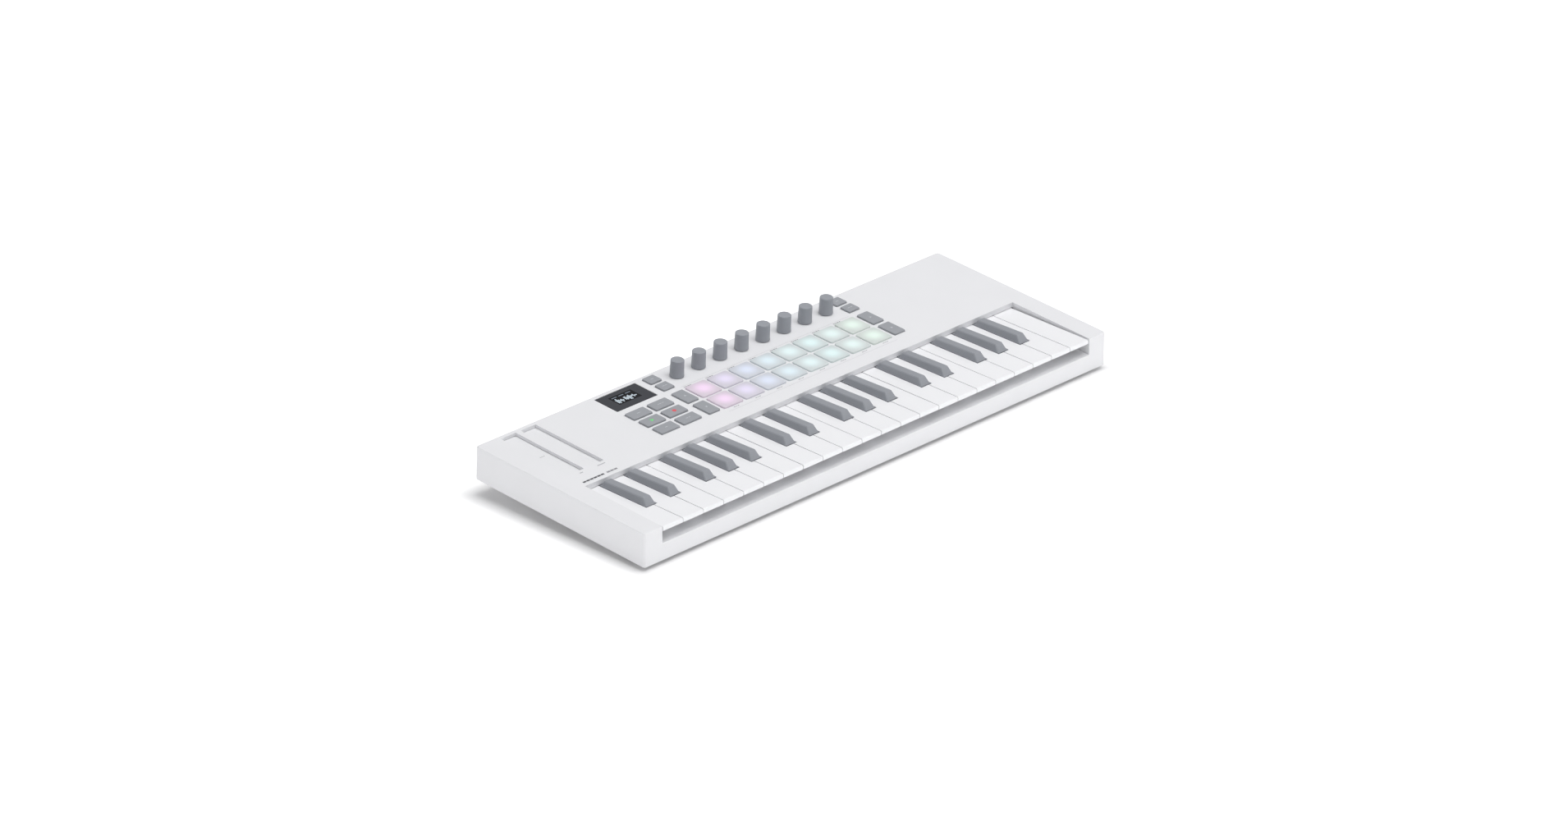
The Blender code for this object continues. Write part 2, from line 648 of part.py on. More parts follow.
def make_chassis():
    """The key bed: floor, front stop rail, board ribs and the round-topped hinge ridge."""
    bottom, top = CHASSIS_FLOOR
    front, back = CHASSIS_Y
    outline = [(front, bottom), (back, bottom), (back, top), (HINGE_Y + RIDGE_RADIUS, top)]
    outline += arc((HINGE_Y, HINGE_Z), RIDGE_RADIUS, 0, 180, 6)
    outline.append((HINGE_Y - RIDGE_RADIUS, top))
    ribs = [(y_range, RIB_TOP) for y_range in reversed(BOARD_RIBS_Y)] + [(STOP_RAIL_Y, STOP_RAIL_TOP)]
    for (rib_front, rib_back), rib_top in ribs:
        outline += [(rib_back, top), (rib_back, rib_top), (rib_front, rib_top), (rib_front, top)]
    outline.append((front, top))
    mesh = side_outline_mesh("key_chassis", outline, -CHASSIS_HALF_WIDTH, CHASSIS_HALF_WIDTH)
    add_part("key_chassis", mesh, "chassis_grey")


def make_contact_board():
    half = CHASSIS_HALF_WIDTH - 0.001
    board = box_mesh("key_contact_board", (-half, CONTACT_BOARD_Y[0], CONTACT_BOARD_Z[0]),
                     (half, CONTACT_BOARD_Y[1], CONTACT_BOARD_Z[1]))
    part = add_part("key_contact_board", board, "board_green")
    domes = bmesh.new()
    for note in note_table():
        add_cylinder(domes, (note["centre"], DOME_Y), DOME_RADII[0], CONTACT_BOARD_Z[1] - 0.0005, DOME_TOP,
                     segments=8, top_radius=DOME_RADII[1])
    combine(part, "UNION", "contact_domes", finish_mesh("contact_domes", domes))


def make_mat(name, rectangles, corner, height, finish):
    """A moulded mat: one thin web with a raised pad or button for each hole above it."""
    low_x = min(x - width / 2 for x, _, width, _ in rectangles) - MAT_MARGIN
    high_x = max(x + width / 2 for x, _, width, _ in rectangles) + MAT_MARGIN
    low_y = min(y - depth / 2 for _, y, _, depth in rectangles) - MAT_MARGIN
    high_y = max(y + depth / 2 for _, y, _, depth in rectangles) + MAT_MARGIN
    web = box_mesh(name, (low_x, low_y, MAT_Z[0]), (high_x, high_y, MAT_Z[1]))
    part = add_part(name, web, finish)
    blocks = bmesh.new()
    for rectangle in rectangles:
        add_rectangle(blocks, rectangle, PLUNGER_BOTTOM, height, corner)
    combine(part, "UNION", name + "_blocks", finish_mesh(name + "_blocks", blocks))


def make_knobs():
    """Each knob is turned with its encoder shaft about the panel's normal."""
    profile = [(0.0, KNOB_TOP), (KNOB_TOP_RADIUS - 0.0007, KNOB_TOP), (KNOB_TOP_RADIUS, KNOB_TOP - 0.0007),
               (KNOB_TOP_RADIUS + 0.0002, KNOB_BOTTOM + 0.0012), (KNOB_BASE_RADIUS, KNOB_BOTTOM + 0.0011),
               (KNOB_BASE_RADIUS, KNOB_BOTTOM), (SHAFT_RADIUS, KNOB_BOTTOM),
               (SHAFT_RADIUS, SHAFT_BOTTOM), (0.0, SHAFT_BOTTOM)]
    mesh = bpy.data.meshes.new("knob")
    mesh.from_pydata([(r, 0.0, z) for r, z in profile], [(i, i + 1) for i in range(len(profile) - 1)], [])
    for i, x in enumerate(pad_columns()):
        knob = add_part(f"knob_{i + 1}", mesh, "knob_grey", (x, KNOB_ROW_Y, 0.0))
        turn = knob.modifiers.new("turn", "SCREW")
        turn.steps = turn.render_steps = 20
        turn.use_merge_vertices = True
        turn.merge_threshold = 0.00001
        turn.use_smooth_shade = True


def make_control_board():
    """Circuit board with the display module and one encoder body below each knob."""
    (low_x, high_x), (low_y, high_y), (low_z, high_z) = CONTROL_BOARD_X, CONTROL_BOARD_Y, CONTROL_BOARD_Z
    board = add_part("control_board", box_mesh("control_board", (low_x, low_y, low_z), (high_x, high_y, high_z)),
                     "board_green")
    bodies, bores = bmesh.new(), bmesh.new()
    half = ENCODER_WIDTH / 2
    for x in pad_columns():
        add_box(bodies, (x - half, KNOB_ROW_Y - half, high_z - GAP), (x + half, KNOB_ROW_Y + half, ENCODER_TOP))
        add_cylinder(bores, (x, KNOB_ROW_Y), ENCODER_BORE_RADIUS, ENCODER_BORE_BOTTOM, 0.0)
    add_box(bodies, *DISPLAY_MODULE)
    combine(board, "UNION", "encoder_bodies", finish_mesh("encoder_bodies", bodies))
    combine(board, "DIFFERENCE", "encoder_bores", finish_mesh("encoder_bores", bores))


def add_jack(bodies, noses, bores, jack):
    half = jack["width"] / 2
    add_box(bodies, (jack["x"] - half, jack["front"], SOCKET_FOOT), (jack["x"] + half, JACK_BODY_BACK, jack["top"]))
    centre = (jack["x"], jack["z"])
    add_cylinder(noses, centre, jack["nose"], JACK_BODY_BACK - 0.002, SOCKET_FACE, axis="Y", segments=16)
    add_cylinder(bores, centre, jack["bore"], SOCKET_FACE - jack["depth"], SOCKET_FACE + 0.002, axis="Y",
                 segments=16)


def make_socket_board():
    """Rear board with the pedal, MIDI and USB sockets."""
    board = add_part("socket_board", box_mesh("socket_board", *SOCKET_BOARD), "board_green")
    bodies, noses, bores = bmesh.new(), bmesh.new(), bmesh.new()
    for jack in (PEDAL_JACK, MIDI_JACK):
        add_jack(bodies, noses, bores, jack)
    half_x, half_z = (size / 2 for size in USB_SOCKET["shell"])
    add_box(bodies, (USB_SOCKET["x"] - half_x, USB_SOCKET["front"], USB_SOCKET["z"] - half_z),
            (USB_SOCKET["x"] + half_x, SOCKET_FACE, USB_SOCKET["z"] + half_z))
    add_box(noses, (USB_SOCKET["x"] - half_x + 0.0008, USB_SOCKET["front"] + 0.0004, SOCKET_FOOT),
            (USB_SOCKET["x"] + half_x - 0.0008, USB_SOCKET["front"] + 0.005, USB_SOCKET["z"]))
    half_x, half_z = (size / 2 for size in USB_SOCKET["mouth"])
    add_box(bores, (USB_SOCKET["x"] - half_x, SOCKET_FACE - USB_SOCKET["depth"], USB_SOCKET["z"] - half_z),
            (USB_SOCKET["x"] + half_x, SOCKET_FACE + 0.002, USB_SOCKET["z"] + half_z))
    combine(board, "UNION", "socket_bodies", finish_mesh("socket_bodies", bodies))
    combine(board, "UNION", "socket_noses", finish_mesh("socket_noses", noses))
    combine(board, "DIFFERENCE", "socket_bores", finish_mesh("socket_bores", bores))


def make_plate(name, rectangle, top, finish):
    """A plate that fills a panel opening, with a flange below the panel."""
    x, y, width, depth = rectangle
    plate = bmesh.new()
    add_rectangle(plate, rectangle, FLANGE_Z[1] - 0.0005, top, PLATE_CORNER)
    half_x, half_y = width / 2 + FLANGE_MARGIN, depth / 2 + FLANGE_MARGIN
    flange = box_mesh(name, (x - half_x, y - half_y, FLANGE_Z[0]), (x + half_x, y + half_y, FLANGE_Z[1]))
    combine(add_part(name, flange, finish), "UNION", name + "_face", finish_mesh(name + "_face", plate))


clear_scene()
PARTS = add_collection("controller_keyboard")
CUTTERS = add_collection("cutters")
FRAME = add_panel_frame()

make_top_case()
make_bottom_case()
make_foot("foot_front", FRONT_FOOT_Y, FRONT_RISER_BOTTOM)
make_foot("foot_rear", REAR_FOOT_Y, REAR_RISER_BOTTOM)
make_chassis()
make_contact_board()
make_keys()
make_mat("pad_mat", pad_rectangles(), PAD_CORNER, PAD_HEIGHT, "pad_silicone")
make_mat("transport_keymat", transport_rectangles(), BUTTON_CORNER, BUTTON_HEIGHT, "button_grey")
make_mat("left_keymat", left_rectangles(), BUTTON_CORNER, BUTTON_HEIGHT, "button_grey")
make_mat("right_keymat", right_rectangles(), BUTTON_CORNER, BUTTON_HEIGHT, "button_grey")
make_knobs()
make_control_board()
make_socket_board()
make_plate("display_window", plate_rectangle(WINDOW_X, WINDOW_Y), WINDOW_TOP, "display_glass")
for strip_name, strip_x in zip(("pitch_strip", "modulation_strip"), STRIP_CENTRES_X):
    make_plate(strip_name, strip_rectangle(strip_x), STRIP_TOP, "strip_white")
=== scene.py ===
"""Looks of the compact 37-key controller keyboard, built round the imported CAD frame.

Pieces are modelled in the panel frame: +X right, +Y back, +Z out of the panel, with its origin at the
middle of the case's front top edge. PANEL carries that frame to the row frame.
"""
import math

import bmesh
import bpy
from mathutils import Matrix, Vector


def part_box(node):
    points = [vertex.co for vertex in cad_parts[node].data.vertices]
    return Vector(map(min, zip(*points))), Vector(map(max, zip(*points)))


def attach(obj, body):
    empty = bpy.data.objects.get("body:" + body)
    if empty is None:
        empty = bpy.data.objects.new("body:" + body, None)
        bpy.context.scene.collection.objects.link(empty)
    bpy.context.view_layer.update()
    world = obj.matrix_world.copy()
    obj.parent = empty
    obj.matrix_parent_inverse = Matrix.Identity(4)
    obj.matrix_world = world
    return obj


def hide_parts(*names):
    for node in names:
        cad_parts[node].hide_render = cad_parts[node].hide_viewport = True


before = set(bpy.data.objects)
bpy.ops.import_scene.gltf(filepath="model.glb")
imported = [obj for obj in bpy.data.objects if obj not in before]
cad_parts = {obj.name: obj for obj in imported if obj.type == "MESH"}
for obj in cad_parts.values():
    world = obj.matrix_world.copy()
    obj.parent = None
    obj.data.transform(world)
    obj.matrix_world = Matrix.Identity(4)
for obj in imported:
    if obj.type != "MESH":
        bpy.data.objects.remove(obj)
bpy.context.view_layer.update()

MM = 0.001
WELD = 0.001 * MM                 # points closer together than this are one point
LEVEL = 0.02 * MM                 # heights that differ by less than this are one height

PANEL_TILT = math.radians(3.27)
CASE_HEIGHT = 0.0269
CASE_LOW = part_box("top_case")[0]
PANEL = (Matrix.Translation((0.0, CASE_LOW.y, CASE_LOW.z + CASE_HEIGHT / math.cos(PANEL_TILT)))
         @ Matrix.Rotation(PANEL_TILT, 4, "X"))
TO_PANEL = PANEL.inverted()


# ---------------------------------------------------------------- camera, light and floor

CAMERA_AIM = Vector((-0.00721, 0.00512, 0.01688))
CAMERA_AZIMUTH = math.radians(-45.06)
CAMERA_ELEVATION = math.radians(25.51)
CAMERA_DISTANCE = 5.2241
CAMERA_LENS = 163.98
SENSOR_WIDTH = 36.0

WORLD_COLOUR = (0.985, 0.985, 1.0, 1.0)
WORLD_STRENGTH = 0.42
SOFTBOXES = (                     # name, azimuth, elevation, distance, size, power
    ("key_softbox", 28.0, 55.0, 3.4, (1.5, 1.5), 12.0),
    ("overhead_softbox", 10.0, 82.0, 3.6, (2.4, 2.4), 63.0),
    ("right_softbox", 62.0, 38.0, 2.8, (1.2, 1.0), 4.0),
    ("left_softbox", -120.0, 28.0, 3.0, (1.4, 1.0), 1.5),
)

FLOOR_REACH = 8.0
FOOTPRINT_HALF = (0.239, 0.087, 0.0)
FLOOR_PAINTED_LIGHT = (0.04, 0.42)        # the floor's painted light at the footprint's edge and further out; the weak first value keeps a painted shade round the keyboard
FLOOR_LIGHT_RISE = 0.018          # how far from the footprint it has risen in full


def direction(azimuth, elevation):
    """Unit vector from the object towards that azimuth and elevation; azimuth 0 is the player's side."""
    return Vector((math.sin(azimuth) * math.cos(elevation), -math.cos(azimuth) * math.cos(elevation),
                   math.sin(elevation)))


def aimed(item, azimuth, elevation, distance, target):
    back = direction(azimuth, elevation)
    item.rotation_mode = "QUATERNION"
    item.rotation_quaternion = (-back).to_track_quat("-Z", "Y")
    item.location = target + back * distance
    bpy.context.scene.collection.objects.link(item)
    return item


def add_camera():
    data = bpy.data.cameras.new("camera")
    data.lens = CAMERA_LENS
    data.sensor_width = SENSOR_WIDTH
    data.clip_start, data.clip_end = 0.1, 50.0
    camera = aimed(bpy.data.objects.new("camera", data), CAMERA_AZIMUTH, CAMERA_ELEVATION,
                   CAMERA_DISTANCE, CAMERA_AIM)
    bpy.context.scene.camera = camera


def add_softbox(name, azimuth, elevation, distance, size, power):
    data = bpy.data.lights.new(name, "AREA")
    data.shape = "RECTANGLE"
    data.size, data.size_y = size
    data.energy = power
    aimed(bpy.data.objects.new(name, data), math.radians(azimuth), math.radians(elevation), distance,
          Vector((0.0, 0.0, 0.0)))


def add_studio():
    world = bpy.data.worlds.new("studio")
    world.use_nodes = True
    background = world.node_tree.nodes["Background"]
    background.inputs["Color"].default_value = WORLD_COLOUR
    background.inputs["Strength"].default_value = WORLD_STRENGTH
    bpy.context.scene.world = world
    bpy.context.scene.view_settings.view_transform = "Standard"
    for softbox in SOFTBOXES:
        add_softbox(*softbox)


def add_floor():
    """A pale floor whose own light is painted light: weak at the keyboard's footprint, leaving a painted
    shade round it, and full once clear of it.
    """
    bm = bmesh.new()
    bmesh.ops.create_grid(bm, x_segments=8, y_segments=8, size=FLOOR_REACH)
    mesh = bpy.data.meshes.new("floor")
    bm.to_mesh(mesh)
    bm.free()
    floor = bpy.data.objects.new("floor", mesh)
    bpy.context.scene.collection.objects.link(floor)
    made, nodes, links, shader = new_material("studio_floor", (0.90, 0.90, 0.90), 0.9)
    shader.inputs["Specular IOR Level"].default_value = 0.1
    value = nodes.new("ShaderNodeTexCoord").outputs["Object"]
    for operation, other in (("ABSOLUTE", None), ("SUBTRACT", FOOTPRINT_HALF),
                             ("MAXIMUM", (0.0, 0.0, 0.0)), ("LENGTH", None)):
        step = nodes.new("ShaderNodeVectorMath")
        step.operation = operation
        links.new(value, step.inputs[0])
        if other:
            step.inputs[1].default_value = other
        value = step.outputs["Value" if operation == "LENGTH" else "Vector"]
    # painted light from the floor, weak at the footprint so that a painted shade stays round the keyboard
    shader.inputs["Emission Color"].default_value = (1.0, 1.0, 1.0, 1.0)
    links.new(ranged(nodes, links, value, *FLOOR_PAINTED_LIGHT, 0.0, FLOOR_LIGHT_RISE),
              shader.inputs["Emission Strength"])
    mesh.materials.append(made)


# ---------------------------------------------------------------- materials

def new_material(name, colour, roughness, metallic=0.0):
    made = bpy.data.materials.new(name)
    made.use_nodes = True
    nodes, links = made.node_tree.nodes, made.node_tree.links
    shader = nodes["Principled BSDF"]
    shader.inputs["Base Color"].default_value = (*colour, 1.0)
    shader.inputs["Roughness"].default_value = roughness
    shader.inputs["Metallic"].default_value = metallic
    made.diffuse_color = (*colour, 1.0)
    return made, nodes, links, shader


def noise(nodes, links, coordinate, size, detail=2.0, roughness=0.5):
    """Noise whose features are about that size, in metres."""
    texture = nodes.new("ShaderNodeTexNoise")
    texture.inputs["Scale"].default_value = 1.0 / size
    texture.inputs["Detail"].default_value = detail
    texture.inputs["Roughness"].default_value = roughness
    links.new(coordinate, texture.inputs["Vector"])
    return texture.outputs["Fac"]


def ranged(nodes, links, value, low, high, from_low=0.3, from_high=0.7, interpolation="LINEAR"):
    """A value carried from one range to another; the default range is where noise mostly lies."""
    step = nodes.new("ShaderNodeMapRange")
    step.interpolation_type = interpolation
    step.inputs["From Min"].default_value = from_low
    step.inputs["From Max"].default_value = from_high
    step.inputs["To Min"].default_value = low
    step.inputs["To Max"].default_value = high
    links.new(value, step.inputs["Value"])
    return step.outputs["Result"]


def add_bump(nodes, links, shader, height, depth):
    bump = nodes.new("ShaderNodeBump")
    bump.inputs["Distance"].default_value = depth
    links.new(height, bump.inputs["Height"])
    links.new(bump.outputs["Normal"], shader.inputs["Normal"])


def tinted(nodes, links, value, colour, spread):
    """A colour that drifts a little darker and lighter with a 0 to 1 value."""
    ramp = nodes.new("ShaderNodeValToRGB")
    for stop, factor in zip(ramp.color_ramp.elements, (1.0 - spread, 1.0 + spread)):
        stop.color = (*(min(c * factor, 1.0) for c in colour), 1.0)
    links.new(value, ramp.inputs["Fac"])
    return ramp.outputs["Color"]


def moulded(name, colour, roughness, grain=0.35 * MM, depth=0.006 * MM, drift=0.012, spread=0.06,
            specular=0.5):
    """Moulded plastic or rubber: a fine spark-eroded grain, uneven gloss and a slight colour drift."""
    made, nodes, links, shader = new_material(name, colour, roughness)
    shader.inputs["Specular IOR Level"].default_value = specular
    place = nodes.new("ShaderNodeTexCoord").outputs["Object"]
    cloud = noise(nodes, links, place, 30 * MM, detail=3.0)
    links.new(tinted(nodes, links, ranged(nodes, links, cloud, 0.0, 1.0), colour, drift),
              shader.inputs["Base Color"])
    handling = noise(nodes, links, place, 9 * MM, detail=5.0, roughness=0.65)
    links.new(ranged(nodes, links, handling, roughness - spread, roughness + spread),
              shader.inputs["Roughness"])
    add_bump(nodes, links, shader, noise(nodes, links, place, grain), depth)
    return made


PAD_BODY = 0.56                   # brightness of an unlit pad
PAD_TINT = 0.12                   # how much of its lamp's colour the pad's body takes
PAD_LIGHT = (0.34, 0.05)          # light from the pad's middle and from its rim
PAD_LIGHT_REACH = 11.5 * MM


def pad_glow(name, colour):
    """Translucent white silicone over a lamp: its light pools in the middle and thins at the rim."""
    made, nodes, links, shader = new_material(name, (0.60, 0.60, 0.62), 0.55)
    shader.inputs["Specular IOR Level"].default_value = 0.3
    place = nodes.new("ShaderNodeTexCoord").outputs["Object"]
    base = tuple(PAD_BODY + PAD_TINT * c for c in colour)
    cloud = noise(nodes, links, place, 6 * MM, detail=3.0)
    links.new(tinted(nodes, links, ranged(nodes, links, cloud, 0.0, 1.0), base, 0.01),
              shader.inputs["Base Color"])
    flat = nodes.new("ShaderNodeVectorMath")
    flat.operation = "MULTIPLY"
    flat.inputs[1].default_value = (1.0, 1.0, 0.0)
    links.new(place, flat.inputs[0])
    reach = nodes.new("ShaderNodeVectorMath")
    reach.operation = "LENGTH"
    links.new(flat.outputs["Vector"], reach.inputs[0])
    shader.inputs["Emission Color"].default_value = (*colour, 1.0)
    links.new(ranged(nodes, links, reach.outputs["Value"], *PAD_LIGHT, 0.0, PAD_LIGHT_REACH, "SMOOTHSTEP"),
              shader.inputs["Emission Strength"])
    add_bump(nodes, links, shader, noise(nodes, links, place, 0.5 * MM), 0.004 * MM)
    return made


def glowing(name, colour, strength):
    """A printed mark lit from behind, a little uneven."""
    made, nodes, links, shader = new_material(name, (0.02, 0.02, 0.02), 0.4)
    place = nodes.new("ShaderNodeTexCoord").outputs["Object"]
    uneven = noise(nodes, links, place, 0.8 * MM)
    shader.inputs["Emission Color"].default_value = (*colour, 1.0)
    links.new(ranged(nodes, links, uneven, strength * 0.9, strength * 1.1),
              shader.inputs["Emission Strength"])
    return made


def brushed_metal(name, colour, roughness):
    """Plated metal with fine wear in its gloss."""
    made, nodes, links, shader = new_material(name, colour, roughness, metallic=1.0)
    place = nodes.new("ShaderNodeTexCoord").outputs["Object"]
    links.new(ranged(nodes, links, noise(nodes, links, place, 0.4 * MM, detail=4.0), roughness - 0.1,
                     roughness + 0.12), shader.inputs["Roughness"])
    add_bump(nodes, links, shader, noise(nodes, links, place, 0.25 * MM), 0.003 * MM)
    return made


CASE_WHITE = moulded("case_white_plastic", (0.860, 0.863, 0.880), 0.50, drift=0.006)
BASE_WHITE = moulded("base_white_plastic", (0.86, 0.86, 0.875), 0.62, grain=0.6 * MM, depth=0.012 * MM)
KEY_WHITE = moulded("white_key_plastic", (0.945, 0.948, 0.965), 0.34, grain=0.5 * MM, depth=0.002 * MM,
                    drift=0.004, spread=0.02)
KEY_GREY = moulded("grey_key_plastic", (0.318, 0.332, 0.362), 0.42, grain=0.5 * MM, depth=0.004 * MM)
KNOB_GREY = moulded("knob_grey_plastic", (0.335, 0.350, 0.382), 0.58, grain=0.3 * MM, depth=0.006 * MM)
BUTTON_GREY = moulded("button_grey_silicone", (0.360, 0.373, 0.398), 0.65, grain=0.25 * MM, depth=0.006 * MM,
                      specular=0.35)
MAT_WHITE = moulded("mat_white_silicone", (0.85, 0.85, 0.87), 0.60, specular=0.35)
STRIP_WHITE = moulded("touch_strip_film", (0.855, 0.86, 0.875), 0.38, grain=0.5 * MM, depth=0.002 * MM,
                      drift=0.004)
WINDOW_GREY = moulded("display_window_glass", (0.048, 0.051, 0.060), 0.16, grain=2 * MM, depth=0.001 * MM,
                      drift=0.02, spread=0.03, specular=0.25)
SCREEN_BLACK = moulded("display_screen_black", (0.006, 0.006, 0.008), 0.2, grain=1 * MM, depth=0.001 * MM,
                       spread=0.04, specular=0.15)
SCREEN_LIGHT = glowing("display_pixels_lit", (0.78, 0.90, 1.0), 0.75)
SCREEN_DIM = glowing("display_pixels_dim", (0.55, 0.68, 0.85), 0.30)
PRINT_GREY = moulded("panel_print_ink", (0.10, 0.10, 0.11), 0.6, grain=0.2 * MM, depth=0.002 * MM)
PRINT_MID = moulded("panel_print_mid_ink", (0.30, 0.30, 0.32), 0.6, grain=0.2 * MM, depth=0.002 * MM)
PRINT_PALE = moulded("panel_print_pale_ink", (0.52, 0.52, 0.55), 0.6, grain=0.2 * MM, depth=0.002 * MM)
MARK_PALE = moulded("button_mark_pale", (0.56, 0.58, 0.61), 0.55, grain=0.2 * MM, depth=0.002 * MM)
MARK_GREEN = glowing("button_mark_green", (0.18, 0.85, 0.25), 0.75)
MARK_RED = glowing("button_mark_red", (0.90, 0.10, 0.13), 0.75)
RUBBER = moulded("foot_rubber_black", (0.035, 0.035, 0.037), 0.85, grain=0.3 * MM, depth=0.02 * MM,
                 specular=0.3)
SOCKET_BLACK = moulded("socket_black_plastic", (0.03, 0.03, 0.032), 0.45)
STEEL = brushed_metal("plated_steel", (0.62, 0.62, 0.63), 0.30)
SCREW_STEEL = brushed_metal("black_zinc_screw", (0.10, 0.10, 0.105), 0.35)
BOARD_GREEN = moulded("solder_mask_green", (0.035, 0.16, 0.075), 0.38, grain=1.2 * MM, depth=0.01 * MM,
                      drift=0.10)
CHASSIS_WHITE = moulded("chassis_white_plastic", (0.86, 0.86, 0.875), 0.60, grain=0.5 * MM, depth=0.01 * MM)


# ---------------------------------------------------------------- mesh helpers

SHARP_ANGLE = math.radians(38.0)
FLAT_ANGLE = math.radians(0.6)
LEAST_CORNER = 0.08 * MM


def finish_mesh(name, bm, materials):
    bmesh.ops.recalc_face_normals(bm, faces=bm.faces)
    mesh = bpy.data.meshes.new(name)
    bm.to_mesh(mesh)
    bm.free()
    mesh.shade_smooth()
    mesh.set_sharp_from_angle(angle=SHARP_ANGLE)
    for made in materials:
        mesh.materials.append(made)
    return mesh


def add_piece(name, mesh, body, replaced=(), at=None):
    """Put a mesh modelled in the panel frame, or round a point of that frame, on its body."""
    piece = bpy.data.objects.new(name, mesh)
    bpy.context.scene.collection.objects.link(piece)
    if at:
        piece.matrix_world = PANEL @ Matrix.Translation(at)
    else:
        mesh.transform(PANEL)
    weighted = piece.modifiers.new("even_shading", "WEIGHTED_NORMAL")
    weighted.keep_sharp = True
    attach(piece, body)
    if replaced:
        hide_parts(*replaced)
    return piece


def node_bmesh(node):
    """A copy of a CAD node's mesh in the panel frame, with its flat faces whole again."""
    bm = bmesh.new()
    bm.from_mesh(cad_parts[node].data)
    bmesh.ops.remove_doubles(bm, verts=bm.verts, dist=2 * WELD)
    bmesh.ops.dissolve_limit(bm, angle_limit=FLAT_ANGLE, verts=bm.verts, edges=bm.edges)
    bmesh.ops.transform(bm, matrix=TO_PANEL, verts=bm.verts)
    bmesh.ops.recalc_face_normals(bm, faces=bm.faces)
    return bm


def soften(bm, radius, segments=2, angle=35.0):
    """Round the edges that are sharper than an angle."""
    edges = [e for e in bm.edges if e.is_manifold and e.calc_face_angle(0.0) > math.radians(angle)]
    bmesh.ops.bevel(bm, geom=edges, offset=radius, offset_type="OFFSET", segments=segments, profile=0.5,
                    affect="EDGES", clamp_overlap=True)


def refined(node, body, material, radius, segments=2, angle=35.0, name=None):
    """A CAD node's own shape with its edges rounded, in its place."""
    bm = node_bmesh(node)
    soften(bm, radius, segments, angle)
    return add_piece(name or node + "_shell", finish_mesh(node, bm, [material]), body, (node,))


def panel_box(node):
    """A CAD node's lowest and highest corners in the panel frame."""
    points = [TO_PANEL @ v.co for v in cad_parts[node].data.vertices]
    return tuple(Vector(pick(p[i] for p in points) for i in range(3)) for pick in (min, max))


def raised_rectangles(node):
    """(x, y, width, depth, top) of each raised face of a mat, front row first and left to right."""
    bm = node_bmesh(node)
    top = max(v.co.z for v in bm.verts)
    found = []
    for face in bm.faces:
        if all(v.co.z > top - LEVEL for v in face.verts):
            xs, ys = [v.co.x for v in face.verts], [v.co.y for v in face.verts]
            found.append(((min(xs) + max(xs)) / 2, (min(ys) + max(ys)) / 2, max(xs) - min(xs),
                          max(ys) - min(ys), top))
    bm.free()
    return sorted(found, key=lambda r: (round(r[1], 3), r[0]))


def rounded_ring(width, depth, corner, inset, steps):
    """Points round a rounded rectangle that is drawn in by an inset."""
    radius = max(corner - inset, LEAST_CORNER)
    half_x, half_y = width / 2 - inset - radius, depth / 2 - inset - radius
    points = []
    for quarter, (side_x, side_y) in enumerate(((1, 1), (-1, 1), (-1, -1), (1, -1))):
        for i in range(steps + 1):
            turn = math.radians(90 * quarter + 90 * i / steps)
            points.append((side_x * half_x + radius * math.cos(turn),
                           side_y * half_y + radius * math.sin(turn)))
    return points


def add_block(bm, centre, size, corner, profile, steps=5):
    """A rounded block whose side follows a profile of (inset, z) steps from bottom to top."""
    rings = []
    for inset, z in profile:
        rings.append([bm.verts.new((centre[0] + x, centre[1] + y, z))
                      for x, y in rounded_ring(*size, corner, inset, steps)])
    bm.faces.new(list(reversed(rings[0])))
    bm.faces.new(rings[-1])
    for low, high in zip(rings, rings[1:]):
        for i in range(len(low)):
            j = (i + 1) % len(low)
            bm.faces.new((low[i], low[j], high[j], high[i]))


def round_edge(top, radius, crown, crown_reach, steps=4):
    """Profile steps over a rounded upper edge, then up a shallow crown."""
    steps_up = []
    for i in range(steps + 1):
        turn = math.radians(90 * i / steps)
        steps_up.append((radius * (1 - math.cos(turn)), top - crown - radius * (1 - math.sin(turn))))
    for share in (0.35, 0.7, 1.0):
        steps_up.append((radius + share * crown_reach, top - crown * (1 - share) ** 2))
    return steps_up


def add_plate(bm, low, high, material=0):
    """A plain flat rectangle with thickness, for printing and screen pixels."""
    size = [h - l for l, h in zip(low, high)]
    middle = [(h + l) / 2 for l, h in zip(low, high)]
    place = Matrix.Translation(middle) @ Matrix.Diagonal((*size, 1.0))
    verts = bmesh.ops.create_cube(bm, size=1.0, matrix=place)["verts"]
    for face in {f for v in verts for f in v.link_faces}:
        face.material_index = material


def add_lathe(bm, profile, segments, centre=(0.0, 0.0), material=0):
    """Turn a closed profile of (radius, height) points that starts and ends on the axis."""
    rings = []
    for radius, height in profile:
        count = 1 if radius < WELD else segments
        ring = []
        for i in range(count):
            turn = 2 * math.pi * i / segments
            ring.append(bm.verts.new((centre[0] + radius * math.cos(turn),
                                      centre[1] + radius * math.sin(turn), height)))
        rings.append(ring)
    for low, high in zip(rings, rings[1:]):
        for i in range(segments):
            j = (i + 1) % segments
            corners = [low[i % len(low)], low[j % len(low)], high[j % len(high)], high[i % len(high)]]
            bm.faces.new(list(dict.fromkeys(corners))).material_index = material


# ---------------------------------------------------------------- case and base

def make_case():
    """The two shells and the feet with rounded edges; the chassis and inner boards keep their CAD shape."""
    refined("top_case", "case", CASE_WHITE, 0.35 * MM, segments=3)
    refined("bottom_case", "case", BASE_WHITE, 0.25 * MM)
    for node in ("foot_front", "foot_rear"):
        refined(node, "case", RUBBER, 0.4 * MM, segments=3)
    for node, material in (("key_chassis", CHASSIS_WHITE), ("key_contact_board", BOARD_GREEN),
                           ("control_board", BOARD_GREEN)):
        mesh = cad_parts[node].data
        mesh.materials.clear()
        mesh.materials.append(material)


# ---------------------------------------------------------------- keys

